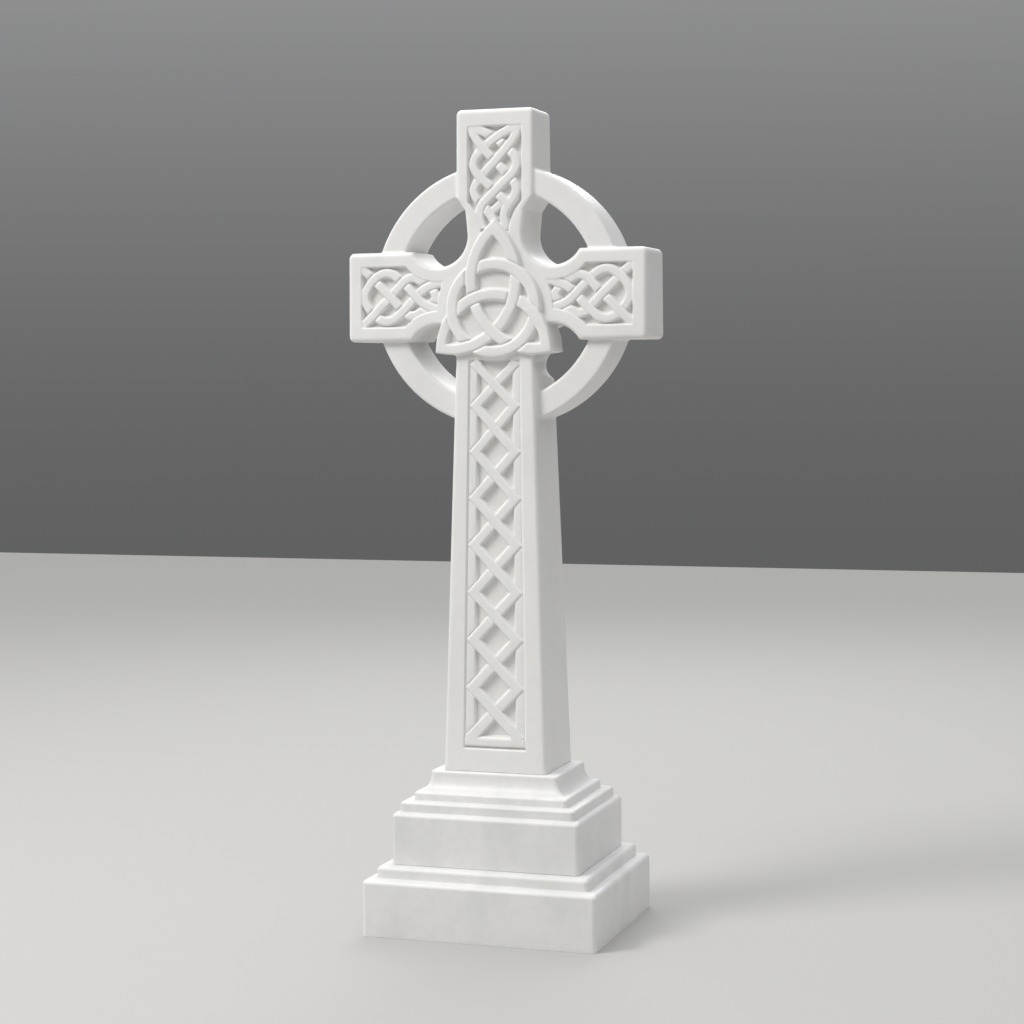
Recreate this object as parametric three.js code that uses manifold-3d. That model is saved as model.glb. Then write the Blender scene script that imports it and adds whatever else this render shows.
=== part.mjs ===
// Celtic cross gravestone in white marble: a ringed cross standing on a plinth of two stones.
// Millimetres, +Z up, carved front towards -Y, origin at the middle of the underside.
import * as THREE from 'three';
import { mergeVertices } from 'three/addons/utils/BufferGeometryUtils.js';
import Module from 'manifold-3d';

const wasm = await Module();
wasm.setup();

// Joint between two stones, and how far a tool reaches past the face that it cuts
const JOINT = 0.3;
const REACH = 12;

// Edges shorter than this are closed up after the cuts
const SLIVER = 0.12;
const SLIVER_PASSES = 30;

// Lower plinth: a block with a low ledge on top
const LOWER_WIDTH = 355;
const LOWER_DEPTH = 300;
const LOWER_RISE = 83;
const LEDGE_INSET = 16.5;
const LEDGE_RISE = 18;

// Upper plinth: a die, a step, a fillet and a hollow moulding up to a narrow top
const DIE_WIDTH = 286;
const DIE_DEPTH = 232;
const DIE_RISE = 76;
const STEP_INSET = 9.5;
const STEP_RISE = 15;
const FILLET_INSET = 25.5;
const FILLET_RISE = 13;
const HOLLOW_INSET = 45;
const HOLLOW_RISE = 23;
const TOP_RISE = 6.5;
const PLINTH_ARRIS = 7;
const MOULDING_ARRIS = 4;

// Cross: the tapered shaft and the head
const FOOT_WIDTH = 158;
const FOOT_DEPTH = 130;
const SHAFT_TOP_WIDTH = 115.5;
const CROSS_HEIGHT = 965;
const CROWN_DEPTH = 83;
const ARM_SPAN = 457;
const ARM_HEIGHT = 131;
const HEAD_RISE = 695.5;
const TOP_ARM_WIDTH = 119;
const CROSS_ARRIS = 6;
const END_CORNER = 8;

// Hollow armpits between the arms, and the rounded back corners of the two lower ones
const BITE_RADIUS = 45.5;
const BITE_CENTRE = 88;
const TOP_ARM_FLARE = 142.5;
const FLARE_NECK = 123;
const FLARE_NECK_HALF = 46;
const SCOOP_CENTRE = 70;
const SCOOP_DROP = 101.5;
const SCOOP_BACK_RADIUS = 24;
const SCOOP_FRONT_RADIUS = 8;

// Ring through the arms
const RING_OUTER = 190.5;
const RING_INNER = 154;
const RING_DEPTH = 80;
const RING_ARRIS = 3;
const RING_DRAFT = 3.5;

// Sunk panels with a raised rim
const PANEL_SINK = 8.5;
const PANEL_BATTER = 2.5;
const ARM_RIM = 20.5;
const TOP_RIM = 24;
const SHAFT_FOOT_RIM = 29.5;
const SHAFT_TOP_RIM = 20.5;
const SHAFT_PANEL_FOOT = 32.5;
const SHAFT_PANEL_HEIGHT = 571;
const PANEL_NECK = 69.5;
const TOP_NECK = 91.5;

// Lattice of straps on the shaft, with a border strip down each side and a bar across the foot.
// Widths are those at the foot of the panel; the first bay is shorter, and the others grow downwards
const STRAP_WIDTH = 16;
const BORDER_WIDTH = 14.5;
const BAR_WIDTH = 15;
const LATTICE_GAP = 2;
const BAR_GAP = 4.5;
const STRAP_DROP = 0.8;
const BORDER_DROP = 2.2;
const LATTICE_HEAD = 8.5;
const FIRST_BAY = 60;
const LATTICE_BAYS = 8;
const BAY_GROWTH = 1.01;

// Plaits on the arms
const PLAIT_WIDTH = 12.8;
const PLAIT_DROP = 0.8;
const LAYER_STEP = 0.3;

// Three-pointed knot through a circle, standing proud of the head
const KNOT_GROUND = 88;
const KNOT_WIDTH = 16.5;
const KNOT_PROUD = 8;
const KNOT_DROP = 18.5;
const KNOT_CIRCLE = 63.5;
const KNOT_TOP = 115.5;
const KNOT_SIDE = 80.5;
const KNOT_FOOT = 58.5;
const KNOT_BOW = 72;
const KNOT_ARCH = 78.5;

// How an under-strand dips below the strand that it passes, and how deep a strand is rooted
const DIP = 3.2;
const DIP_RAMP = 3;
const STRAND_ARRIS = 2.4;
const STRAND_ROOT = 3;

const LOWER_TOP = LOWER_RISE + LEDGE_RISE;
const UPPER_FOOT = LOWER_TOP + JOINT;
const UPPER_TOP = UPPER_FOOT + DIE_RISE + STEP_RISE + FILLET_RISE + HOLLOW_RISE + TOP_RISE;
const FOOT = UPPER_TOP + JOINT;
const CROWN = FOOT + CROSS_HEIGHT;
const HEAD = FOOT + HEAD_RISE;
const KNOT = HEAD - KNOT_DROP;

// Half depth of the cross at a height: the front and back lean in towards the crown
function halfDepth(z) {
  const share = (z - FOOT) / CROSS_HEIGHT;
  return (FOOT_DEPTH + (CROWN_DEPTH - FOOT_DEPTH) * share) / 2;
}

// Half width of the shaft at a height: it narrows up to the head
function shaftHalf(z) {
  const share = (z - FOOT) / HEAD_RISE;
  return (FOOT_WIDTH + (SHAFT_TOP_WIDTH - FOOT_WIDTH) * share) / 2;
}

// Solids and meshes
function solidOf(geometry) {
  geometry.deleteAttribute('normal');
  geometry.deleteAttribute('uv');
  const merged = mergeVertices(geometry, 1e-4);
  return new wasm.Manifold(new wasm.Mesh({
    numProp: 3,
    vertProperties: new Float32Array(merged.attributes.position.array),
    triVerts: new Uint32Array(merged.index.array),
  }));
}

function geometryOf(solid) {
  const mesh = solid.getMesh();
  const geometry = new THREE.BufferGeometry();
  geometry.setAttribute('position', new THREE.BufferAttribute(mesh.vertProperties, 3));
  geometry.setIndex(new THREE.BufferAttribute(mesh.triVerts, 1));
  geometry.computeVertexNormals();
  return geometry;
}

// Closes the slivers that cuts leave: short edges collapse, and flat triangles swap their long edge
function withoutSlivers(geometry) {
  const place = geometry.attributes.position;
  const points = [];
  for (let i = 0; i < place.count; i += 1) {
    points.push(new THREE.Vector3().fromBufferAttribute(place, i));
  }
  const flat = Array.from(geometry.index.array);
  let faces = Array.from({ length: flat.length / 3 }, (unused, i) => flat.slice(3 * i, 3 * i + 3));
  const normal = (face) => new THREE.Vector3().subVectors(points[face[1]], points[face[0]])
    .cross(new THREE.Vector3().subVectors(points[face[2]], points[face[0]]));
  for (let pass = 0; pass < SLIVER_PASSES; pass += 1) {
    const around = points.map(() => []);
    faces.forEach((face) => face.forEach((corner) => around[corner].push(face)));
    const moved = new Set();
    const collapse = (keep, drop) => {
      const shared = around[drop].filter((face) => face.includes(keep));
      const near = new Set(around[keep].flat());
      const common = new Set(around[drop].flat().filter((v) => near.has(v) && v !== keep && v !== drop));
      const busy = [...around[keep], ...around[drop]].some((face) => face.some((v) => moved.has(v)));
      if (busy || shared.length !== 2 || common.size !== 2) {
        return false;
      }
      const turned = around[drop].filter((face) => !face.includes(keep)).some((face) => {
        const before = normal(face);
        const after = normal(face.map((v) => (v === drop ? keep : v)));
        return before.length() > SLIVER && after.dot(before) <= 0;
      });
      if (turned) {
        return false;
      }
      around[drop].forEach((face) => {
        face.forEach((v) => moved.add(v));
        face.splice(0, 3, ...face.map((v) => (v === drop ? keep : v)));
      });
      moved.add(keep);
      return true;
    };
    const swap = (face, k) => {
      const [a, b, c] = [face[k], face[(k + 1) % 3], face[(k + 2) % 3]];
      const other = around[a].find((f) => f !== face && f.includes(b));
      const d = other.find((v) => v !== a && v !== b);
      const busy = [...face, ...other].some((v) => moved.has(v));
      const joined = around[c].some((f) => f.includes(d));
      if (!busy && !joined) {
        [a, b, c, d].forEach((v) => moved.add(v));
        face.splice(0, 3, a, d, c);
        other.splice(0, 3, d, b, c);
      }
    };
    for (const face of faces) {
      if (face.some((corner) => moved.has(corner))) {
        continue;
      }
      const lengths = [0, 1, 2].map((k) => points[face[k]].distanceTo(points[face[(k + 1) % 3]]));
      const long = lengths.indexOf(Math.max(...lengths));
      const short = lengths.indexOf(Math.min(...lengths));
      if (lengths[short] < SLIVER) {
        const [a, b] = [face[short], face[(short + 1) % 3]];
        if (!collapse(a, b)) {
          collapse(b, a);
        }
      } else if (normal(face).length() / lengths[long] < SLIVER / 4) {
        swap(face, long);
      }
    }
    faces = faces.filter(([a, b, c]) => a !== b && b !== c && c !== a);
    if (moved.size === 0) {
      break;
    }
  }
  geometry.setIndex(faces.flat());
  geometry.deleteAttribute('normal');
  const clean = mergeVertices(geometry.toNonIndexed(), 1e-4);
  clean.computeVertexNormals();
  return clean;
}

function union(solids) {
  return solids.reduce((whole, solid) => whole.add(solid));
}

// Moves every corner of a geometry through a function of x, y and z
function remap(geometry, place) {
  const position = geometry.attributes.position;
  for (let i = 0; i < position.count; i += 1) {
    const [x, y, z] = place(position.getX(i), position.getY(i), position.getZ(i));
    position.setXYZ(i, x, y, z);
  }
  return geometry;
}

// Upright slab of a front outline, from y0 to y1, with an arris on both faces
function slab(shape, y0, y1, arris, batter = arris, segments = 2) {
  const geometry = new THREE.ExtrudeGeometry(shape, {
    depth: y1 - y0 - 2 * arris,
    bevelEnabled: true,
    bevelThickness: arris,
    bevelSize: batter,
    bevelOffset: -batter,
    bevelSegments: segments,
    curveSegments: 12,
  });
  geometry.rotateX(Math.PI / 2);
  geometry.translate(0, y1 - arris, 0);
  return geometry;
}

// Points on an arc in the front plane, both ends included
function arc(x, z, radius, from, to, steps) {
  const points = [];
  for (let i = 0; i <= steps; i += 1) {
    const angle = from + (to - from) * i / steps;
    points.push(new THREE.Vector2(x + radius * Math.cos(angle), z + radius * Math.sin(angle)));
  }
  return points;
}

function flipped(points) {
  return points.map((p) => new THREE.Vector2(-p.x, p.y)).reverse();
}

// Closed outline from its right-hand side, listed from the foot upwards
function mirroredShape(right) {
  return new THREE.Shape([...right, ...flipped(right)]);
}

// Plinth stones
// A course is a rectangle with softly rounded upright corners, at one height
function course(width, depth, inset, z, corner) {
  const x = width / 2 - inset - corner;
  const y = depth / 2 - inset - corner;
  const ring = [];
  const centres = [[x, y], [-x, y], [-x, -y], [x, -y]];
  centres.forEach((centre, side) => {
    const start = side * Math.PI / 2;
    for (const point of arc(centre[0], centre[1], corner, start, start + Math.PI / 2, 3)) {
      ring.push([point.x, point.y, z]);
    }
  });
  return ring;
}

// Closed solid through a stack of courses with equal numbers of corners
function stack(courses) {
  const size = courses[0].length;
  const last = (courses.length - 1) * size;
  const index = [];
  for (let level = 0; level + 1 < courses.length; level += 1) {
    for (let i = 0; i < size; i += 1) {
      const a = level * size + i;
      const b = level * size + (i + 1) % size;
      index.push(a, b, b + size, a, b + size, a + size);
    }
  }
  for (let i = 1; i + 1 < size; i += 1) {
    index.push(0, i + 1, i, last, last + i, last + i + 1);
  }
  const geometry = new THREE.BufferGeometry();
  geometry.setAttribute('position', new THREE.Float32BufferAttribute(courses.flat(2), 3));
  geometry.setIndex(index);
  return geometry;
}

// Profile of a plinth stone: pairs of inset and height, with each top arris rounded by a quarter turn
function roundedTop(inset, z, arris) {
  return arc(0, 0, arris, 0, Math.PI / 2, 3).map((p) => [inset + arris - p.x, z - arris + p.y]);
}

function plinthStone(width, depth, profile, corner) {
  return stack(profile.map(([inset, z]) => course(width, depth, inset, z, corner)));
}

function lowerPlinth() {
  const profile = [
    [0, 0],
    ...roundedTop(0, LOWER_RISE, PLINTH_ARRIS),
    [LEDGE_INSET, LOWER_RISE],
    ...roundedTop(LEDGE_INSET, LOWER_TOP, PLINTH_ARRIS),
  ];
  return plinthStone(LOWER_WIDTH, LOWER_DEPTH, profile, PLINTH_ARRIS);
}

function upperPlinth() {
  const dieTop = UPPER_FOOT + DIE_RISE;
  const stepTop = dieTop + STEP_RISE;
  const filletTop = stepTop + FILLET_RISE;
  const hollowTop = filletTop + HOLLOW_RISE;
  const hollowFoot = FILLET_INSET + MOULDING_ARRIS;
  const hollow = [];
  for (let i = 0; i <= 6; i += 1) {
    const turn = i / 6 * Math.PI / 2;
    hollow.push([
      hollowFoot + (HOLLOW_INSET - hollowFoot) * Math.sin(turn),
      filletTop + HOLLOW_RISE * (1 - Math.cos(turn)),
    ]);
  }
  const profile = [
    [0, UPPER_FOOT],
    ...roundedTop(0, dieTop, PLINTH_ARRIS),
    [STEP_INSET, dieTop],
    ...roundedTop(STEP_INSET, stepTop, MOULDING_ARRIS),
    [FILLET_INSET, stepTop],
    ...roundedTop(FILLET_INSET, filletTop, MOULDING_ARRIS).slice(0, -1),
    ...hollow,
    ...roundedTop(HOLLOW_INSET, hollowTop + TOP_RISE, MOULDING_ARRIS),
  ];
  return plinthStone(DIE_WIDTH, DIE_DEPTH, profile, PLINTH_ARRIS);
}

// Cross
const biteEdge = Math.asin((BITE_CENTRE - ARM_HEIGHT / 2) / BITE_RADIUS);

function crossOutline() {
  const lowArm = HEAD - ARM_HEIGHT / 2;
  const highArm = HEAD + ARM_HEIGHT / 2;
  const end = ARM_SPAN / 2 - END_CORNER;
  const lowBite = HEAD - BITE_CENTRE;
  const highBite = HEAD + BITE_CENTRE;
  const lobe = HEAD - BITE_CENTRE + BITE_RADIUS;
  return mirroredShape([
    new THREE.Vector2(shaftHalf(FOOT), FOOT),
    new THREE.Vector2(shaftHalf(lobe), lobe - END_CORNER),
    ...arc(BITE_CENTRE, lowBite, BITE_RADIUS, Math.PI * 0.55, biteEdge, 8),
    ...arc(end, lowArm + END_CORNER, END_CORNER, -Math.PI / 2, 0, 3),
    ...arc(end, highArm - END_CORNER, END_CORNER, 0, Math.PI / 2, 3),
    ...arc(BITE_CENTRE, highBite, BITE_RADIUS, -biteEdge, -Math.PI, 14),
    new THREE.Vector2(FLARE_NECK_HALF, HEAD + FLARE_NECK),
    new THREE.Vector2(TOP_ARM_WIDTH / 2, HEAD + TOP_ARM_FLARE),
    ...arc(TOP_ARM_WIDTH / 2 - END_CORNER, CROWN - END_CORNER, END_CORNER, 0, Math.PI / 2, 3),
  ]);
}

// Slab of an outline from the leaning front of the cross to its back, or only to its middle
function leaningSlab(shape, reachesBack = true) {
  const half = FOOT_DEPTH / 2;
  const geometry = slab(shape, -half, reachesBack ? half : 0, CROSS_ARRIS);
  return remap(geometry, (x, y, z) => [x, y * halfDepth(z) / half, z]);
}

// The three-pointed knot as one closed line: each side is an arc between two points
function bowedArc(from, to, bow, steps) {
  const chord = to.clone().sub(from);
  const half = chord.length() / 2;
  const radius = (half * half + bow * bow) / (2 * bow);
  const outward = new THREE.Vector2(chord.y, -chord.x).normalize();
  const centre = from.clone().add(to).multiplyScalar(0.5).addScaledVector(outward, bow - radius);
  const start = Math.atan2(from.y - centre.y, from.x - centre.x);
  const sweep = 2 * Math.atan2(half, radius - bow);
  return arc(centre.x, centre.y, radius, start, start + sweep, steps);
}

function knotLines() {
  const top = new THREE.Vector2(0, KNOT + KNOT_TOP);
  const right = new THREE.Vector2(KNOT_SIDE, KNOT - KNOT_FOOT);
  const left = new THREE.Vector2(-KNOT_SIDE, KNOT - KNOT_FOOT);
  const sides = [
    ...bowedArc(top, right, KNOT_BOW, 12).slice(0, -1),
    ...bowedArc(right, left, KNOT_ARCH, 12).slice(0, -1),
    ...bowedArc(left, top, KNOT_BOW, 12).slice(0, -1),
  ];
  const circle = arc(0, KNOT, KNOT_CIRCLE, Math.PI / 2, Math.PI * 2.5, 26).slice(0, -1);
  return [sides, circle];
}

// Lobes under the two lower points of the knot, on the front half of the head
function lobeOutline() {
  const foot = KNOT - KNOT_FOOT;
  const radius = (KNOT_SIDE ** 2 + KNOT_ARCH ** 2) / (2 * KNOT_ARCH) + KNOT_WIDTH / 2;
  const middle = foot + KNOT_ARCH - radius + KNOT_WIDTH / 2;
  const low = foot - KNOT_WIDTH / 2;
  return mirroredShape([
    new THREE.Vector2(shaftHalf(low) - CROSS_ARRIS, low - 1),
    new THREE.Vector2(KNOT_SIDE - KNOT_WIDTH / 2, low),
    new THREE.Vector2(radius + 2, low + 2.5),
    ...arc(0, middle, radius, 0.04, 0.5, 5),
    new THREE.Vector2(KNOT_CIRCLE, KNOT),
  ]);
}

// Rounded hollow that opens from front to back in each lower armpit
function scoop(side) {
  const half = halfDepth(HEAD - SCOOP_DROP) + REACH;
  const cone = new THREE.CylinderGeometry(SCOOP_BACK_RADIUS, SCOOP_FRONT_RADIUS, 2 * half, 20);
  cone.translate(side * SCOOP_CENTRE, 0, HEAD - SCOOP_DROP);
  return solidOf(cone);
}

function ringSolid() {
  const shape = new THREE.Shape(arc(0, HEAD, RING_OUTER, 0, Math.PI * 2, 54).slice(0, -1));
  shape.holes.push(new THREE.Path(arc(0, HEAD, RING_INNER, 0, -Math.PI * 2, 54).slice(0, -1)));
  const geometry = slab(shape, -RING_DEPTH / 2, RING_DEPTH / 2, RING_ARRIS, RING_ARRIS, 1);
  const middle = (RING_OUTER + RING_INNER) / 2;
  return solidOf(remap(geometry, (x, y, z) => {
    const radius = Math.hypot(x, z - HEAD);
    const draft = radius < middle ? RING_DRAFT * (y / RING_DEPTH + 0.5) : 0;
    const scale = (radius - draft) / radius;
    return [x * scale, y, HEAD + (z - HEAD) * scale];
  }));
}

// Carving on the front
// A point of the carving is x, height and sink: how far it lies behind the leaning front face
function onFront(geometry) {
  return remap(geometry, (x, y, z) => [x, y - halfDepth(z), z]);
}

function sunkPanel(shape) {
  const geometry = slab(shape, -REACH - PANEL_SINK, PANEL_SINK, PANEL_SINK, PANEL_BATTER, 1);
  return solidOf(onFront(geometry));
}

// Panels of the arms: where each one starts and ends along its arm, and half its width
const sidePanel = {
  start: PANEL_NECK - PANEL_BATTER,
  end: ARM_SPAN / 2 - ARM_RIM,
  half: ARM_HEIGHT / 2 - ARM_RIM,
};
const topPanel = {
  start: TOP_NECK,
  end: CROWN - HEAD - TOP_RIM,
  half: TOP_ARM_WIDTH / 2 - ARM_RIM + PANEL_BATTER,
};

// Right-hand side of a panel, in arm axes: across the arm, and along it from the head centre
function armPanelSide({ start, end, half }) {
  const radius = BITE_RADIUS + ARM_RIM;
  const corner = Math.acos((BITE_CENTRE - half) / radius);
  const neck = Math.asin((BITE_CENTRE - start) / radius);
  return [
    new THREE.Vector2(half, end),
    ...arc(BITE_CENTRE, BITE_CENTRE, radius, Math.PI - corner, Math.PI + neck, 7),
  ];
}

// Places a point given across and along an arm: turn 0 is the top arm, 1 the right one, -1 the left one
function armPoint(turn, across, along) {
  const angle = -turn * Math.PI / 2;
  return new THREE.Vector2(
    across * Math.cos(angle) - along * Math.sin(angle),
    HEAD + across * Math.sin(angle) + along * Math.cos(angle),
  );
}

// Places a point given as shares of a panel: of its half width, and of its length from neck to end
function panelPoint(turn, panel, [across, along]) {
  return armPoint(turn, across * panel.half, PANEL_NECK + along * (panel.end - PANEL_NECK));
}

function armPanel(turn, panel) {
  const side = armPanelSide(panel);
  const across = [...side.slice().reverse(), ...side.map((p) => new THREE.Vector2(-p.x, p.y))];
  return sunkPanel(new THREE.Shape(across.map((p) => armPoint(turn, p.x, p.y))));
}

// Round ground of the knot, which the panels of the side arms stop at
function knotGround() {
  const front = -REACH - PANEL_SINK - 1;
  const back = PANEL_SINK + 1;
  const radiusAt = (y) => KNOT_GROUND + PANEL_BATTER * y / PANEL_SINK;
  const cone = new THREE.CylinderGeometry(radiusAt(back), radiusAt(front), back - front, 60);
  cone.translate(0, (front + back) / 2, KNOT);
  return solidOf(onFront(cone));
}

const shaftPanelFoot = FOOT + SHAFT_PANEL_FOOT;
const shaftPanelTop = shaftPanelFoot + SHAFT_PANEL_HEIGHT;

// Half width of the shaft's panel at a height
function panelHalf(z) {
  const foot = shaftHalf(shaftPanelFoot) - SHAFT_FOOT_RIM;
  const top = shaftHalf(shaftPanelTop) - SHAFT_TOP_RIM;
  return foot + (top - foot) * (z - shaftPanelFoot) / SHAFT_PANEL_HEIGHT;
}

// Widths of the lattice narrow with its panel
function panelTaper(z) {
  return panelHalf(z) / panelHalf(shaftPanelFoot);
}

function shaftPanel() {
  const corners = [shaftPanelFoot, shaftPanelTop].map((z) => new THREE.Vector2(panelHalf(z), z));
  return sunkPanel(mirroredShape(corners));
}

// Crossings between strand lines, each with the two legs that meet there
function segmentsOf(line, closed) {
  const count = closed ? line.length : line.length - 1;
  let along = 0;
  return Array.from({ length: count }, (unused, i) => {
    const a = line[i];
    const b = line[(i + 1) % line.length];
    const segment = { a, b, along, length: a.distanceTo(b) };
    along += segment.length;
    return segment;
  });
}

function meeting(p, q) {
  const r = p.b.clone().sub(p.a);
  const s = q.b.clone().sub(q.a);
  const area = r.cross(s);
  if (Math.abs(area) < 1e-9) {
    return null;
  }
  const gap = q.a.clone().sub(p.a);
  const t = gap.cross(s) / area;
  const u = gap.cross(r) / area;
  return t >= 0 && t < 1 && u >= 0 && u < 1 ? { t, u, sine: Math.abs(area) / (p.length * q.length) } : null;
}

function crossingsOf(strands) {
  const legs = strands.flatMap((strand, owner) => segmentsOf(strand.line, strand.closed)
    .map((segment, order) => ({ ...segment, owner, order })));
  const found = [];
  legs.forEach((p, i) => legs.slice(i + 1).forEach((q) => {
    const near = p.owner === q.owner && Math.abs(p.order - q.order) < 2;
    const hit = near ? null : meeting(p, q);
    if (hit !== null && hit.sine > 0.3) {
      found.push({
        point: p.a.clone().lerp(p.b, hit.t),
        sine: hit.sine,
        legs: [
          { owner: p.owner, along: p.along + hit.t * p.length, slope: rising(p) },
          { owner: q.owner, along: q.along + hit.u * q.length, slope: rising(q) },
        ],
      });
    }
  }));
  return found;
}

// True where a segment rises to the right
function rising(segment) {
  const run = segment.b.clone().sub(segment.a);
  return run.x * run.y > 0;
}

// Strand as a swept bar that dips at each distance in its list of dips
function withDips(strand) {
  const segments = segmentsOf(strand.line, strand.closed);
  const total = segments.at(-1).along + segments.at(-1).length;
  const flat = strand.width / 2;
  const stops = strand.dips.flatMap(({ at, sine }) => {
    const hold = flat / sine;
    return [at - hold - DIP_RAMP, at - hold, at + hold, at + hold + DIP_RAMP];
  }).map((s) => (strand.closed ? (s + total) % total : s)).filter((s) => s > 0 && s < total);
  const level = (s) => strand.dips.reduce((drop, { at, sine }) => {
    const straight = Math.abs(s - at);
    const away = strand.closed ? Math.min(straight, total - straight) : straight;
    return Math.max(drop, DIP * THREE.MathUtils.clamp(1 - (away - flat / sine) / DIP_RAMP, 0, 1));
  }, 0);
  const nodes = [];
  for (const segment of segments) {
    nodes.push({ point: segment.a, s: segment.along });
    const inside = stops.filter((s) => s > segment.along + 0.8 && s < segment.along + segment.length - 0.8);
    for (const s of inside.sort((a, b) => a - b)) {
      nodes.push({ point: segment.a.clone().lerp(segment.b, (s - segment.along) / segment.length), s });
    }
  }
  if (!strand.closed) {
    nodes.push({ point: strand.line.at(-1), s: total });
  }
  return nodes.map(({ point, s }) => ({ point, drop: level(s) }));
}

function strandSolid(strand) {
  const root = PANEL_SINK + STRAND_ROOT;
  const nodes = withDips(strand);
  const count = nodes.length;
  const position = [];
  nodes.forEach(({ point, drop }, i) => {
    const half = strand.taper(point.y) * strand.width / 2;
    const before = strand.closed || i > 0 ? nodes[(i + count - 1) % count].point : point;
    const after = strand.closed || i + 1 < count ? nodes[(i + 1) % count].point : point;
    const into = point.clone().sub(before);
    const out = after.clone().sub(point);
    const first = into.lengthSq() > 0 ? into.normalize() : out.clone().normalize();
    const second = out.lengthSq() > 0 ? out.normalize() : first;
    const tangent = first.clone().add(second).normalize();
    const side = new THREE.Vector2(tangent.y, -tangent.x);
    const mitre = half / Math.max(side.dot(new THREE.Vector2(first.y, -first.x)), 0.3);
    const crown = mitre * (1 - STRAND_ARRIS / half);
    const top = strand.top + drop;
    const section = [[mitre, root], [mitre, top + STRAND_ARRIS], [crown, top],
      [-crown, top], [-mitre, top + STRAND_ARRIS], [-mitre, root]];
    for (const [across, sink] of section) {
      const x = point.x + side.x * across;
      const z = point.y + side.y * across;
      position.push(x, sink - halfDepth(z), z);
    }
  });
  const size = 6;
  const index = [];
  const spans = strand.closed ? count : count - 1;
  for (let i = 0; i < spans; i += 1) {
    for (let k = 0; k < size; k += 1) {
      const a = i * size + k;
      const b = i * size + (k + 1) % size;
      const c = ((i + 1) % count) * size + k;
      const d = ((i + 1) % count) * size + (k + 1) % size;
      index.push(a, c, b, b, c, d);
    }
  }
  if (!strand.closed) {
    const last = (count - 1) * size;
    for (let k = 1; k + 1 < size; k += 1) {
      index.push(0, k, k + 1, last, last + k + 1, last + k);
    }
  }
  const geometry = new THREE.BufferGeometry();
  geometry.setAttribute('position', new THREE.Float32BufferAttribute(position, 3));
  geometry.setIndex(index);
  return solidOf(geometry);
}

// Weaves strands: the rule picks which leg of a crossing lies on top, and the other dips
function weave(strands, upperLeg) {
  for (const crossing of crossingsOf(strands)) {
    const under = crossing.legs[1 - upperLeg(crossing)];
    strands[under.owner].dips.push({ at: under.along, sine: crossing.sine });
  }
  return strands.map(strandSolid);
}

// A strand runs along a line, with its top at a sink; a taper scales its width with the height
function strand(line, width, top, { closed = false, taper = () => 1 } = {}) {
  return { line, width, top, closed, taper, dips: [] };
}

function smoothLine(points, steps) {
  const through = points.map((p) => new THREE.Vector3(p.x, p.y, 0));
  const curve = new THREE.CatmullRomCurve3(through, false, 'centripetal');
  return curve.getSpacedPoints(steps).map((p) => new THREE.Vector2(p.x, p.y));
}

function knot() {
  const [sides, circle] = knotLines();
  const lines = [
    strand(sides, KNOT_WIDTH, -KNOT_PROUD, { closed: true }),
    strand(circle, KNOT_WIDTH, LAYER_STEP - KNOT_PROUD, { closed: true }),
  ];
  const passes = crossingsOf(lines).flatMap(({ legs }) => legs.filter((leg) => leg.owner === 0))
    .map((leg) => leg.along).sort((a, b) => a - b);
  const isOver = (leg) => passes.findIndex((s) => Math.abs(s - leg.along) < 1e-6) % 2 === 0;
  return weave(lines, ({ legs }) => {
    const own = legs.findIndex((leg) => leg.owner === 0);
    return isOver(legs[own]) ? own : 1 - own;
  });
}

// Heights of the turns of the lattice, from the top down
function latticeTurns() {
  const barTop = shaftPanelFoot + BAR_GAP + BAR_WIDTH;
  const first = shaftPanelTop - LATTICE_HEAD;
  const second = first - FIRST_BAY;
  const growth = (k) => BAY_GROWTH ** k - 1;
  const turns = [first];
  for (let k = 0; k < LATTICE_BAYS; k += 1) {
    turns.push(second + (barTop - second) * growth(k) / growth(LATTICE_BAYS - 1));
  }
  return turns;
}

function lattice() {
  const turns = latticeTurns();
  const barMiddle = shaftPanelFoot + BAR_GAP + BAR_WIDTH / 2;
  const edge = (z, inset) => panelHalf(z) - LATTICE_GAP - inset * panelTaper(z);
  const zigzag = (start) => {
    const points = turns.map((z, k) => {
      const side = k % 2 ? -start : start;
      return new THREE.Vector2(side * edge(z, STRAP_WIDTH / Math.SQRT2), z);
    });
    const beyond = (last, before) => {
      const out = last.clone().sub(before);
      out.x *= -1;
      return last.clone().add(out.setLength(STRAP_WIDTH / 2));
    };
    const size = points.length;
    return [beyond(points[0], points[1]), ...points, beyond(points[size - 1], points[size - 2])];
  };
  const border = (side) => [barMiddle, shaftPanelTop + LATTICE_GAP].map((z) => new THREE.Vector2(
    side * edge(z, BORDER_WIDTH / 2),
    z,
  ));
  const bar = [-1, 1].map((side) => new THREE.Vector2(side * edge(barMiddle, 0), barMiddle));
  const straps = [
    strand(zigzag(1), STRAP_WIDTH, STRAP_DROP, { taper: panelTaper }),
    strand(zigzag(-1), STRAP_WIDTH, STRAP_DROP + LAYER_STEP, { taper: panelTaper }),
  ];
  return [
    ...weave(straps, ({ legs }) => (legs[0].slope ? 1 : 0)),
    strandSolid(strand(bar, BAR_WIDTH, STRAP_DROP + 2 * LAYER_STEP)),
    strandSolid(strand(border(1), BORDER_WIDTH, BORDER_DROP, { taper: panelTaper })),
    strandSolid(strand(border(-1), BORDER_WIDTH, BORDER_DROP, { taper: panelTaper })),
  ];
}

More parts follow.
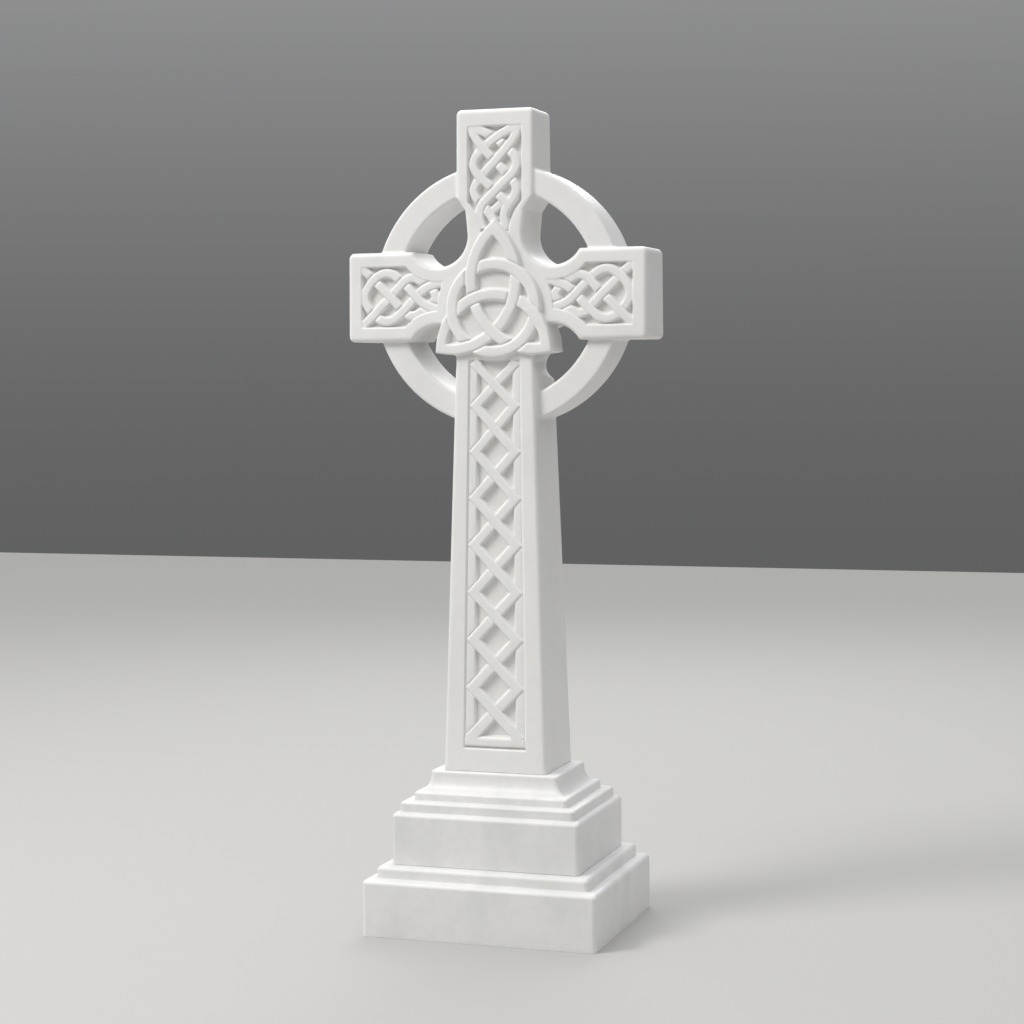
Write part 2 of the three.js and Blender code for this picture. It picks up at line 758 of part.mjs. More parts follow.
// Plait of a side arm: one strand from corner to corner round the neck, and one that turns at the end
function armPlait(turn) {
  const path = (points, steps) => smoothLine(points.map((p) => panelPoint(turn, sidePanel, p)), steps);
  const across = (points) => points.map(([x, along]) => [-x, along]).reverse();
  const corner = [
    [0.98, 1.014], [0.61, 0.872], [0.267, 0.764], [-0.044, 0.655], [-0.311, 0.577],
    [-0.54, 0.5], [-0.618, 0.41], [-0.5, 0.33], [-0.31, 0.227],
  ];
  const end = [
    [-0.47, 0.06], [-0.42, 0.14], [-0.333, 0.225], [-0.222, 0.301], [0, 0.381], [0.331, 0.483],
    [0.6, 0.577], [0.756, 0.657], [0.778, 0.747], [0.611, 0.848], [0.311, 0.931],
  ];
  const strands = [
    strand(path([...corner, [0, 0.163], ...across(corner)], 28), PLAIT_WIDTH, PLAIT_DROP),
    strand(path([...end, [0, 0.967], ...across(end)], 32), PLAIT_WIDTH, PLAIT_DROP + LAYER_STEP),
  ];
  const neck = PANEL_NECK + (sidePanel.end - PANEL_NECK) * 0.29;
  return weave(strands, ({ point, legs }) => {
    if (Math.abs(point.x) < neck && legs[0].owner !== legs[1].owner) {
      return legs[0].owner === 1 ? 0 : 1;
    }
    const middle = Math.abs(point.y - HEAD) < sidePanel.half / 8;
    return legs[0].slope === (middle === (turn > 0)) ? 0 : 1;
  });
}

// Plait of the top arm: each upper corner holds the pointed turn of a strand. The two strands mirror
// each other down to their tails, which end beside the point of the knot and behind it
function topPlait() {
  const tip = [-0.845, 0.985];
  const upper = [
    [-0.525, 0.962], [-0.215, 0.925], [0.02, 0.89], [0.225, 0.856], [0.41, 0.815], [0.605, 0.773],
    [0.755, 0.727], [0.79, 0.676], [0.7, 0.621], [0.49, 0.568], [0.245, 0.516], [-0.015, 0.458],
    [-0.275, 0.4],
  ];
  const lower = [
    [-0.785, 0.931], [-0.63, 0.873], [-0.425, 0.815], [-0.2, 0.755], [0.02, 0.699], [0.235, 0.648],
    [0.41, 0.604], [0.59, 0.556], [0.73, 0.513], [0.78, 0.464], [0.705, 0.413], [0.555, 0.365],
  ];
  const tails = [
    [
      [[-0.465, 0.355], [-0.55, 0.308], [-0.57, 0.26], [-0.53, 0.2], [-0.47, 0.15]],
      [[0.4, 0.31], [0.33, 0.255], [0.37, 0.2], [0.35, 0.14]],
    ],
    [
      [[-0.5, 0.35]],
      [[0.36, 0.324], [0.21, 0.278], [0.08, 0.235], [0, 0.2]],
    ],
  ];
  const strands = tails.map(([upperTail, lowerTail], i) => {
    const place = ([across, along]) => panelPoint(0, topPanel, [i ? -across : across, along]);
    const line = [
      ...smoothLine([...upper, ...upperTail].reverse().map(place), 16),
      place(tip),
      ...smoothLine([...lower, ...lowerTail].map(place), 16),
    ];
    return strand(line, PLAIT_WIDTH, PLAIT_DROP + i * LAYER_STEP);
  });
  const lowest = PANEL_NECK + (topPanel.end - PANEL_NECK) * 0.4;
  return weave(strands, ({ point, legs }) => {
    const fallingOver = point.x < -topPanel.half / 10 && point.y - HEAD > lowest;
    return legs[0].slope === fallingOver ? 1 : 0;
  });
}

function cross() {
  const body = solidOf(leaningSlab(crossOutline())).subtract(union([scoop(-1), scoop(1)]));
  const blank = union([body, solidOf(leaningSlab(lobeOutline(), false)), ringSolid()]);
  const sides = union([armPanel(1, sidePanel), armPanel(-1, sidePanel)]).subtract(knotGround());
  const panels = union([shaftPanel(), armPanel(0, topPanel), sides]);
  const carving = [...knot(), ...lattice(), ...armPlait(1), ...armPlait(-1), ...topPlait()];
  return withoutSlivers(geometryOf(union([blank.subtract(panels), ...carving])));
}

function marble(name, geometry, colour) {
  const material = new THREE.MeshStandardMaterial({ color: colour, roughness: 0.5, metalness: 0 });
  const mesh = new THREE.Mesh(geometry, material);
  mesh.name = name;
  return mesh;
}

const gravestone = new THREE.Group();
gravestone.add(marble('lower_plinth', lowerPlinth(), 0xe6e4e0));
gravestone.add(marble('upper_plinth', upperPlinth(), 0xe9e7e3));
gravestone.add(marble('cross', cross(), 0xeceae7));

export default gravestone;
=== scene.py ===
"""Celtic cross gravestone in white marble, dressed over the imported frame."""
import math

import bmesh
import bpy
import numpy as np
import openvdb
from mathutils import Matrix, Vector


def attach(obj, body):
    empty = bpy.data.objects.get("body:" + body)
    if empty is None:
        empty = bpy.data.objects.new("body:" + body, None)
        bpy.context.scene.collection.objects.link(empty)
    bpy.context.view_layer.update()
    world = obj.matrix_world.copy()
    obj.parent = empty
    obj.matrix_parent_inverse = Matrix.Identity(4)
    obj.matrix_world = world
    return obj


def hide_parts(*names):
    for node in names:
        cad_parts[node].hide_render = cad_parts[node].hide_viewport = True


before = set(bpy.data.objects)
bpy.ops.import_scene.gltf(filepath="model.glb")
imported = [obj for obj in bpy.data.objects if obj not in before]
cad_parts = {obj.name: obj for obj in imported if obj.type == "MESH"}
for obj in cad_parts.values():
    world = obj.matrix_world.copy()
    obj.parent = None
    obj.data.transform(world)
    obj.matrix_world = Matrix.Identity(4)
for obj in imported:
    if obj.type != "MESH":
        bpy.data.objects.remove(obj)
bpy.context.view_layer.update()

MM = 0.001

# Driving sizes of the plinth stones, in millimetres
JOINT = 0.3
LOWER_WIDTH, LOWER_DEPTH, LOWER_RISE = 355, 300, 83
LEDGE_INSET, LEDGE_RISE = 16.5, 18
DIE_WIDTH, DIE_DEPTH, DIE_RISE = 286, 232, 76
STEP_INSET, STEP_RISE = 9.5, 15
FILLET_INSET, FILLET_RISE = 25.5, 13
HOLLOW_INSET, HOLLOW_RISE = 45, 23
TOP_RISE = 6.5
PLINTH_ARRIS, MOULDING_ARRIS = 7, 4
FOOT_CHAMFER, LEDGE_FILLET, MOULDING_FILLET = 0.3, 1.5, 1.2

# Driving sizes of the cross
FOOT_WIDTH, FOOT_DEPTH, SHAFT_TOP_WIDTH = 158, 130, 115.5
CROSS_HEIGHT, CROWN_DEPTH, HEAD_RISE = 965, 83, 695.5
ARM_SPAN, ARM_HEIGHT, TOP_ARM_WIDTH = 457, 131, 119
CROSS_ARRIS, END_CORNER = 6, 8
BITE_RADIUS, BITE_CENTRE = 45.5, 88
TOP_ARM_FLARE, FLARE_NECK, FLARE_NECK_HALF = 142.5, 123, 46
SCOOP_CENTRE, SCOOP_DROP = 70, 101.5
SCOOP_BACK_RADIUS, SCOOP_FRONT_RADIUS = 24, 8
RING_OUTER, RING_INNER, RING_DEPTH = 190.5, 154, 80
RING_ARRIS, RING_DRAFT = 4, 3.5
REACH = 12

# Driving sizes of the carving
PANEL_SINK, PANEL_BATTER = 8.5, 2.5
ARM_RIM, TOP_RIM = 20.5, 24
SHAFT_FOOT_RIM, SHAFT_TOP_RIM = 29.5, 20.5
SHAFT_PANEL_FOOT, SHAFT_PANEL_HEIGHT = 32.5, 571
PANEL_NECK, TOP_NECK = 69.5, 91.5
STRAP_WIDTH, BORDER_WIDTH, BAR_WIDTH = 16, 14.5, 15
LATTICE_GAP, BAR_GAP = 2, 4.5
STRAP_DROP, BORDER_DROP = 0.8, 2.2
LATTICE_HEAD, FIRST_BAY, LATTICE_BAYS, BAY_GROWTH = 8.5, 60, 8, 1.01
PLAIT_WIDTH, PLAIT_DROP = 12.8, 0.8
KNOT_WIDTH, KNOT_PROUD, KNOT_DROP = 16.5, 8, 18.5
KNOT_CIRCLE, KNOT_TOP, KNOT_SIDE, KNOT_FOOT = 63.5, 115.5, 80.5, 58.5
KNOT_BOW, KNOT_ARCH, KNOT_GROUND = 72, 78.5, 88

LOWER_TOP = LOWER_RISE + LEDGE_RISE
UPPER_FOOT = LOWER_TOP + JOINT
UPPER_TOP = UPPER_FOOT + DIE_RISE + STEP_RISE + FILLET_RISE + HOLLOW_RISE + TOP_RISE
FOOT = UPPER_TOP + JOINT
CROWN = FOOT + CROSS_HEIGHT
HEAD = FOOT + HEAD_RISE
KNOT = HEAD - KNOT_DROP
PANEL_FOOT = FOOT + SHAFT_PANEL_FOOT
PANEL_TOP = PANEL_FOOT + SHAFT_PANEL_HEIGHT

# Fineness of the cross: cell and band of its solid, cell and margin of the relief map, triangles kept
CELL = 1.5
FIELD_BAND = 3 * CELL
MAP_CELL, MAP_MARGIN = 0.5, 4
TRIANGLES_KEPT = 192000

# Rounding where the forms of the cross meet
RING_FILLET = 2.5
SCOOP_ARRIS, LOBE_ARRIS, LOBE_FILLET = 2.0, 2.5, 1.0
LOBE_TUCK, LOBE_TIP_OUT, LOBE_TIP_UP = 1, 2, 2.5
LOBE_START, LOBE_END = 0.04, 0.5
LOWER_BITE_START = math.pi * 0.55

# Grooves beside a strand that passes over, and the section of the strands
DIP, DIP_RAMP = 2.4, 2.6
WALL_SLOPE, WALL_REACH, CROWNING = 3.5, 5, 0.3
STRAP_SHOULDER, PLAIT_SHOULDER, KNOT_SHOULDER, BAR_SHOULDER = 2.2, 2.2, 2.8, 6
SHAFT_PANEL_EDGE = 4
KNOT_STEPS, CIRCLE_STEPS = 48, 120

# Shares of a panel's length where the rule of the weave changes, and the width of the short strand end
NECK_SHARE, TAIL_SHARE, STUB_SHARE = 0.29, 0.4, 0.9

# Depth at which a hollow takes its full tone, and the depth where the tone starts: the tone is painted shade
# in the recesses, partly standing for grime
CAVITY, CAVITY_START, CAVITY_STRIDE = 3.5, 0.4, 4
RECESS_SHADE_AND_GRIME = (0.72, 0.70, 0.665)


def half_depth(z):
    return (FOOT_DEPTH + (CROWN_DEPTH - FOOT_DEPTH) * (z - FOOT) / CROSS_HEIGHT) / 2


def shaft_half(z):
    return (FOOT_WIDTH + (SHAFT_TOP_WIDTH - FOOT_WIDTH) * (z - FOOT) / HEAD_RISE) / 2


# Lines in the front plane, as arrays of x and height
def arc(x, z, radius, start, end, steps):
    angle = np.linspace(start, end, steps + 1)
    return np.stack([x + radius * np.cos(angle), z + radius * np.sin(angle)], 1)


def mirrored(right):
    right = np.vstack([np.atleast_2d(p) for p in right])
    return np.vstack([right, right[::-1] * (-1, 1)])


def cross_outline():
    low_arm, high_arm = HEAD - ARM_HEIGHT / 2, HEAD + ARM_HEIGHT / 2
    foot = FOOT - 2 * FIELD_BAND
    end = ARM_SPAN / 2 - END_CORNER
    edge = math.asin((BITE_CENTRE - ARM_HEIGHT / 2) / BITE_RADIUS)
    lobe = HEAD - BITE_CENTRE + BITE_RADIUS - END_CORNER
    turn = math.pi / 2
    return mirrored([
        (shaft_half(foot), foot),
        (shaft_half(lobe + END_CORNER), lobe),
        arc(BITE_CENTRE, HEAD - BITE_CENTRE, BITE_RADIUS, LOWER_BITE_START, edge, 14),
        arc(end, low_arm + END_CORNER, END_CORNER, -turn, 0, 6),
        arc(end, high_arm - END_CORNER, END_CORNER, 0, turn, 6),
        arc(BITE_CENTRE, HEAD + BITE_CENTRE, BITE_RADIUS, -edge, -math.pi, 30),
        (FLARE_NECK_HALF, HEAD + FLARE_NECK),
        (TOP_ARM_WIDTH / 2, HEAD + TOP_ARM_FLARE),
        arc(TOP_ARM_WIDTH / 2 - END_CORNER, CROWN - END_CORNER, END_CORNER, 0, turn, 6),
    ])


def lobe_outline():
    foot = KNOT - KNOT_FOOT
    radius = (KNOT_SIDE ** 2 + KNOT_ARCH ** 2) / (2 * KNOT_ARCH) + KNOT_WIDTH / 2
    middle = foot + KNOT_ARCH - radius + KNOT_WIDTH / 2
    low = foot - KNOT_WIDTH / 2
    return mirrored([
        (shaft_half(low) - CROSS_ARRIS, low - LOBE_TUCK),
        (KNOT_SIDE - KNOT_WIDTH / 2, low),
        (radius + LOBE_TIP_OUT, low + LOBE_TIP_UP),
        arc(0, middle, radius, LOBE_START, LOBE_END, 12),
        (KNOT_CIRCLE, KNOT),
    ])


def bowed_arc(start, end, bow, steps):
    start, end = np.array(start), np.array(end)
    chord = end - start
    half = np.hypot(*chord) / 2
    radius = (half * half + bow * bow) / (2 * bow)
    outward = np.array([chord[1], -chord[0]]) / (2 * half)
    centre = (start + end) / 2 + outward * (bow - radius)
    first = math.atan2(start[1] - centre[1], start[0] - centre[0])
    sweep = 2 * math.atan2(half, radius - bow)
    return arc(centre[0], centre[1], radius, first, first + sweep, steps)


def knot_lines():
    top = (0, KNOT + KNOT_TOP)
    right = (KNOT_SIDE, KNOT - KNOT_FOOT)
    left = (-KNOT_SIDE, KNOT - KNOT_FOOT)
    sides = np.vstack([
        bowed_arc(top, right, KNOT_BOW, KNOT_STEPS)[:-1],
        bowed_arc(right, left, KNOT_ARCH, KNOT_STEPS)[:-1],
        bowed_arc(left, top, KNOT_BOW, KNOT_STEPS)[:-1],
    ])
    circle = arc(0, KNOT, KNOT_CIRCLE, math.pi / 2, math.pi * 2.5, CIRCLE_STEPS)[:-1]
    return sides, circle


def smooth_line(points, steps):
    """Centripetal spline through points, resampled at even distances."""
    points = np.array(points, float)
    padded = np.vstack([2 * points[0] - points[1], points, 2 * points[-1] - points[-2]])
    fine = []
    for i in range(len(points) - 1):
        p0, p1, p2, p3 = padded[i:i + 4]
        d0, d1, d2 = (math.sqrt(np.hypot(*(b - a))) for a, b in ((p0, p1), (p1, p2), (p2, p3)))
        t1 = ((p1 - p0) / d0 - (p2 - p0) / (d0 + d1) + (p2 - p1) / d1) * d1
        t2 = ((p2 - p1) / d1 - (p3 - p1) / (d1 + d2) + (p3 - p2) / d2) * d1
        t = np.linspace(0, 1, 24, endpoint=False)[:, None]
        a, b = 2 * p1 - 2 * p2 + t1 + t2, -3 * p1 + 3 * p2 - 2 * t1 - t2
        fine.append(p1 + t1 * t + b * t ** 2 + a * t ** 3)
    fine = np.vstack(fine + [points[-1:]])
    along = np.concatenate([[0], np.cumsum(np.hypot(*np.diff(fine, axis=0).T))])
    even = np.linspace(0, along[-1], steps + 1)
    return np.stack([np.interp(even, along, fine[:, 0]), np.interp(even, along, fine[:, 1])], 1)


# Distances in the front plane
def outline_distance(outline, x, z):
    """Signed distance to a closed outline, negative inside it."""
    nearest = np.full(np.broadcast(x, z).shape, 1e9, np.float32)
    inside = np.zeros(nearest.shape, bool)
    for a, b in zip(outline, np.roll(outline, -1, axis=0)):
        run = b - a
        length = run @ run
        if length < 1e-9:
            continue
        share = np.clip(((x - a[0]) * run[0] + (z - a[1]) * run[1]) / length, 0, 1)
        away = np.hypot(x - a[0] - share * run[0], z - a[1] - share * run[1])
        nearest = np.minimum(nearest, away)
        if a[1] != b[1]:
            crosses = (z >= min(a[1], b[1])) & (z < max(a[1], b[1]))
            inside ^= crosses & (x < a[0] + (z - a[1]) * run[0] / run[1])
    return np.where(inside, -nearest, nearest)


def rounded_cut(a, b, radius):
    """Common part of two solids, with their shared edge rounded."""
    corner = np.hypot(np.maximum(a + radius, 0), np.maximum(b + radius, 0))
    return np.minimum(np.maximum(a, b), -radius) + corner


def rounded_join(a, b, radius):
    """Both solids together, with the corner between them filleted."""
    corner = np.hypot(np.maximum(radius - a, 0), np.maximum(radius - b, 0))
    return np.maximum(np.minimum(a, b), radius) - corner


# The relief: how far the finished front lies behind the leaning front face
map_x = np.arange(-ARM_SPAN / 2 - MAP_MARGIN, ARM_SPAN / 2 + MAP_MARGIN, MAP_CELL)
map_z = np.arange(FOOT - MAP_MARGIN, CROWN + MAP_MARGIN, MAP_CELL)
GRID_X, GRID_Z = np.meshgrid(map_x, map_z, indexing="ij")


def window(low, high):
    i0, i1 = np.searchsorted(map_x, [low[0], high[0]])
    j0, j1 = np.searchsorted(map_z, [low[1], high[1]])
    return slice(max(i0 - 1, 0), i1 + 1), slice(max(j0 - 1, 0), j1 + 1)


def smooth_step(t):
    t = np.clip(t, 0, 1)
    return t * t * (3 - 2 * t)


def sink_panel(sink, outline, edge=PANEL_BATTER, ground=None):
    cut = window(outline.min(0) - 2, outline.max(0) + 2)
    x, z = GRID_X[cut], GRID_Z[cut]
    away = outline_distance(outline, x, z)
    if ground is not None:
        away = np.maximum(away, ground - np.hypot(x, z - KNOT))
    floor = PANEL_SINK * smooth_step(-away / edge)
    sink[cut] = np.maximum(sink[cut], floor)


def arm_point(turn, across, along):
    """A point across and along an arm: turn 0 is the top arm, 1 the right one, -1 the left one."""
    angle = -turn * math.pi / 2
    c, s = math.cos(angle), math.sin(angle)
    return np.array([across * c - along * s, HEAD + across * s + along * c])


SIDE_PANEL = (ARM_SPAN / 2 - ARM_RIM, ARM_HEIGHT / 2 - ARM_RIM)
TOP_PANEL = (CROWN - HEAD - TOP_RIM, TOP_ARM_WIDTH / 2 - ARM_RIM + PANEL_BATTER)


def arm_panel(turn, panel, start):
    end, half = panel
    radius = BITE_RADIUS + ARM_RIM
    corner = math.acos((BITE_CENTRE - half) / radius)
    neck = math.asin((BITE_CENTRE - start) / radius)
    side = np.vstack([
        [(half, end)],
        arc(BITE_CENTRE, BITE_CENTRE, radius, math.pi - corner, math.pi + neck, 20),
    ])
    across = np.vstack([side[::-1], side * (-1, 1)])
    return np.array([arm_point(turn, x, y) for x, y in across])


def panel_half(z):
    """Half width of the shaft's panel at a height."""
    foot = shaft_half(PANEL_FOOT) - SHAFT_FOOT_RIM
    top = shaft_half(PANEL_TOP) - SHAFT_TOP_RIM
    return foot + (top - foot) * (z - PANEL_FOOT) / SHAFT_PANEL_HEIGHT


def panel_taper(z):
    """Widths of the lattice follow the width of its panel."""
    return panel_half(z) / panel_half(PANEL_FOOT)


def shaft_panel():
    return mirrored([(panel_half(z), z) for z in (PANEL_FOOT, PANEL_TOP)])


class Strand:
    def __init__(self, line, width, top, shoulder, closed=False, taper=None):
        self.line, self.width, self.top, self.taper = np.array(line), width, top, taper
        self.shoulder, self.closed, self.passes = shoulder, closed, []
        ends = np.roll(self.line, -1, axis=0) if closed else self.line[1:]
        self.starts = self.line if closed else self.line[:-1]
        self.runs = ends - self.starts
        self.lengths = np.hypot(*self.runs.T)
        self.along = np.concatenate([[0], np.cumsum(self.lengths)])
        self.tangents = self.runs / self.lengths[:, None]

    def half(self, z):
        return self.width / 2 * (1 if self.taper is None else self.taper(z))

    def near(self, at, reach):
        """Segments that lie within a reach of a place along the strand."""
        away = np.abs(self.along[:-1] + self.lengths / 2 - at)
        if self.closed:
            away = np.minimum(away, self.along[-1] - away)
        return np.flatnonzero(away < reach)

    def clearance(self, x, z, segments):
        """Distance from the edge of the strand, negative on it."""
        nearest = np.full_like(x, 1e9)
        for i in segments:
            a, run = self.starts[i], self.runs[i]
            share = np.clip(((x - a[0]) * run[0] + (z - a[1]) * run[1]) / (run @ run), 0, 1)
            away = np.hypot(x - a[0] - share * run[0], z - a[1] - share * run[1])
            nearest = np.minimum(nearest, away)
        return nearest - self.half(z)

    def section(self, d):
        """Fall of the strand's surface with distance from its middle line."""
        half = self.width / 2
        flat = half - self.shoulder
        over = np.clip((d - flat) / self.shoulder, 0, 1)
        rounding = 0.75 * self.shoulder * (1 - np.sqrt(np.maximum(1 - over * over, 0)))
        return CROWNING * (d / half) ** 2 + rounding + WALL_SLOPE * np.maximum(d - half, 0)

    def carve(self, sink):
        """Cuts the strand, with a groove wherever it passes under another one."""
        reach = self.width / 2 + WALL_REACH
        count = len(self.starts)
        under = [[] for _ in range(count)]
        for over, own, others in self.passes:
            for i in own:
                under[i].append((over, others))
        for i in range(count):
            a, b = self.starts[i], self.starts[i] + self.runs[i]
            t = self.tangents[i]
            before = self.tangents[i - 1] if self.closed or i > 0 else t
            after = self.tangents[(i + 1) % count] if self.closed or i + 1 < count else t
            cut = window(np.minimum(a, b) - 1.5 * reach, np.maximum(a, b) + 1.5 * reach)
            x, z = GRID_X[cut], GRID_Z[cut]
            first, last = before + t, after + t
            mine = ((x - a[0]) * first[0] + (z - a[1]) * first[1] >= -1e-6)
            mine &= ((x - b[0]) * last[0] + (z - b[1]) * last[1] <= 1e-6)
            mine &= np.abs((x - a[0]) * t[1] - (z - a[1]) * t[0]) < reach
            x, z = x[mine], z[mine]
            d = np.abs((x - a[0]) * t[1] - (z - a[1]) * t[0])
            surface = self.top + self.section(d * self.width / 2 / self.half(z))
            fall = np.zeros_like(surface)
            for over, others in under[i]:
                edge = over.clearance(x, z, others)
                fall = np.maximum(fall, DIP * smooth_step(1 - edge / DIP_RAMP))
            part = sink[cut]
            part[mine] = np.minimum(part[mine], surface + fall)


def crossings_of(strands):
    """Where strands meet: the point, the sine of the angle, and the two legs."""
    found = []
    for i, p in enumerate(strands):
        for j in range(i, len(strands)):
            q = strands[j]
            for k, (a, r) in enumerate(zip(p.starts, p.runs)):
                gap = q.starts - a
                area = r[0] * q.runs[:, 1] - r[1] * q.runs[:, 0]
                area = np.where(np.abs(area) < 1e-9, 1e-9, area)
                t = (gap[:, 0] * q.runs[:, 1] - gap[:, 1] * q.runs[:, 0]) / area
                u = (gap[:, 0] * r[1] - gap[:, 1] * r[0]) / area
                sine = np.abs(area) / (p.lengths[k] * q.lengths)
                hit = (t >= 0) & (t < 1) & (u >= 0) & (u < 1) & (sine > 0.3)
                if i == j:
                    hit &= np.arange(len(q.starts)) > k + 1
                    if p.closed and k == 0:
                        hit[-1] = False
                for m in np.flatnonzero(hit):
                    legs = (
                        (i, p.along[k] + t[m] * p.lengths[k], r[0] * r[1] > 0),
                        (j, q.along[m] + u[m] * q.lengths[m], q.runs[m][0] * q.runs[m][1] > 0),
                    )
                    found.append((a + t[m] * r, sine[m], legs))
    return found


def weave(strands, upper_leg):
    for point, sine, legs in crossings_of(strands):
        upper = upper_leg(point, legs)
        over, under = strands[legs[upper][0]], strands[legs[1 - upper][0]]
        reach = ((over.width + under.width * math.sqrt(1 - sine * sine)) / 2 + DIP_RAMP) / sine + 2
        own = under.near(legs[1 - upper][1], reach)
        under.passes.append((over, own, over.near(legs[upper][1], reach)))
    return strands


def knot_strands():
    sides, circle = knot_lines()
    strands = [
        Strand(sides, KNOT_WIDTH, -KNOT_PROUD, KNOT_SHOULDER, closed=True),
        Strand(circle, KNOT_WIDTH, -KNOT_PROUD, KNOT_SHOULDER, closed=True),
    ]
    met = crossings_of(strands)
    passes = sorted(leg[1] for _, _, legs in met for leg in legs if leg[0] == 0)

    def upper(point, legs):
        own = 0 if legs[0][0] == 0 else 1
        order = int(np.argmin(np.abs(np.array(passes) - legs[own][1])))
        return own if order % 2 == 0 else 1 - own

    return weave(strands, upper)


def lattice_turns():
    """Heights of the turns of the lattice, from the top down: the first bay is shorter."""
    bar_top = PANEL_FOOT + BAR_GAP + BAR_WIDTH
    first = PANEL_TOP - LATTICE_HEAD
    second = first - FIRST_BAY
    whole = BAY_GROWTH ** (LATTICE_BAYS - 1) - 1
    rest = [second + (bar_top - second) * (BAY_GROWTH ** k - 1) / whole for k in range(LATTICE_BAYS)]
    return [first] + rest


def lattice_strands():
    """Straps that zigzag up the panel over two border strips, and the bar at their foot."""
    turns = lattice_turns()

    def edge(z, inset):
        return panel_half(z) - LATTICE_GAP - inset * panel_taper(z)

    def zigzag(start):
        points = []
        for k, z in enumerate(turns):
            side = -start if k % 2 else start
            points.append(np.array((side * edge(z, STRAP_WIDTH / math.sqrt(2)), z)))

        def beyond(last, before):
            out = (last - before) * (-1, 1)
            return last + out / np.hypot(*out) * STRAP_WIDTH / 2

        return [beyond(points[0], points[1])] + points + [beyond(points[-1], points[-2])]

    straps = [
        Strand(zigzag(start), STRAP_WIDTH, STRAP_DROP, STRAP_SHOULDER, taper=panel_taper)
        for start in (1, -1)
    ]
    weave(straps, lambda point, legs: 1 if legs[0][2] else 0)
    foot = PANEL_FOOT + BAR_GAP
    strips = []
    for side in (1, -1):
        line = [(side * edge(z, BORDER_WIDTH / 2), z) for z in (foot, PANEL_TOP)]
        strip = Strand(line, BORDER_WIDTH, BORDER_DROP, STRAP_SHOULDER, taper=panel_taper)
        strip.passes = [(strap, [0], range(len(strap.starts))) for strap in straps]
        strips.append(strip)
    bars = []
    for width, drop, shoulder in (
        (BAR_WIDTH, STRAP_DROP, BAR_SHOULDER),
        (BAR_WIDTH - BAR_SHOULDER + STRAP_SHOULDER, STRAP_DROP, STRAP_SHOULDER),
    ):
        middle = foot + width / 2
        reach = edge(middle, 0)
        bars.append(Strand([(-reach, middle), (reach, middle)], width, drop, shoulder))
    return straps + strips + bars


def panel_point(turn, panel, point, sign=1):
    """A point given as shares of a panel: of its half width, and of its length from neck to end."""
    end, half = panel
    return arm_point(turn, sign * point[0] * half, PANEL_NECK + point[1] * (end - PANEL_NECK))


def arm_strands(turn):
    """Plait of a side arm: a strand from corner to corner round the neck, and one that turns at the end."""
    corner = [
        (0.98, 1.014), (0.61, 0.872), (0.267, 0.764), (-0.044, 0.655), (-0.311, 0.577),
        (-0.54, 0.5), (-0.618, 0.41), (-0.5, 0.33), (-0.31, 0.227),
    ]
    end = [
        (0.311, 0.931), (0.611, 0.848), (0.778, 0.747), (0.756, 0.657), (0.6, 0.577),
        (0.331, 0.483), (0, 0.381), (-0.222, 0.301), (-0.333, 0.225), (-0.42, 0.14), (-0.47, 0.06),
    ]
    neck = (0, 0.163)
    around = corner + [neck] + [(-across, along) for across, along in corner[::-1]]
    turning = end[::-1] + [(0, 0.967)] + [(-across, along) for across, along in end]
    lines = [
        smooth_line([panel_point(turn, SIDE_PANEL, p) for p in around], 130),
        smooth_line([panel_point(turn, SIDE_PANEL, p) for p in turning], 150),
    ]
    strands = [Strand(line, PLAIT_WIDTH, PLAIT_DROP, PLAIT_SHOULDER) for line in lines]
    near_neck = PANEL_NECK + (SIDE_PANEL[0] - PANEL_NECK) * NECK_SHARE

    def upper(point, legs):
        if abs(point[0]) < near_neck and legs[0][0] != legs[1][0]:
            return 0 if legs[0][0] == 1 else 1
        middle = abs(point[1] - HEAD) < SIDE_PANEL[1] / 8
        return 0 if legs[0][2] == (middle == (turn > 0)) else 1

    return weave(strands, upper)


def top_strands():
    """Plait of the top arm: two strands with pointed turns in the upper corners, and a short end."""
    tip = (-0.845, 0.985)
    upper = [
        (-0.525, 0.962), (-0.215, 0.925), (0.02, 0.89), (0.225, 0.856), (0.41, 0.815), (0.605, 0.773),
        (0.755, 0.727), (0.79, 0.676), (0.7, 0.621), (0.49, 0.568), (0.245, 0.516), (-0.015, 0.458),
        (-0.275, 0.4),
    ]
    lower = [
        (-0.785, 0.931), (-0.63, 0.873), (-0.425, 0.815), (-0.2, 0.755), (0.02, 0.699), (0.235, 0.648),
        (0.41, 0.604), (0.59, 0.556), (0.73, 0.513), (0.78, 0.464), (0.705, 0.413), (0.555, 0.365),
    ]
    tails = [
        (1, [(-0.465, 0.355), (-0.55, 0.308), (-0.57, 0.26), (-0.53, 0.2), (-0.47, 0.15)],
         [(0.4, 0.31), (0.33, 0.255), (0.37, 0.2), (0.35, 0.14)]),
        (-1, [(-0.5, 0.35)], [(0.36, 0.324), (0.21, 0.278), (0.08, 0.235), (0, 0.2)]),
    ]

    def placed(points, sign):
        return [panel_point(0, TOP_PANEL, p, sign) for p in points]

    strands = []
    for sign, upper_tail, lower_tail in tails:
        line = np.vstack([
            smooth_line(placed((upper + upper_tail)[::-1], sign), 80),
            placed([tip], sign),
            smooth_line(placed(lower + lower_tail, sign), 80),
        ])
        strands.append(Strand(line, PLAIT_WIDTH, PLAIT_DROP, PLAIT_SHOULDER))
    lowest = PANEL_NECK + (TOP_PANEL[0] - PANEL_NECK) * TAIL_SHARE

    def upper_leg(point, legs):
        falling_over = point[0] < -TOP_PANEL[1] / 10 and point[1] - HEAD > lowest
        return 1 if legs[0][2] == falling_over else 0

    weave(strands, upper_leg)
    stub = [panel_point(0, TOP_PANEL, p) for p in ((0.3, 0.375), (0.114, 0.337), (-0.13, 0.293))]
    return strands + [Strand(stub, PLAIT_WIDTH * STUB_SHARE, PLAIT_DROP + DIP / 2, PLAIT_SHOULDER)]


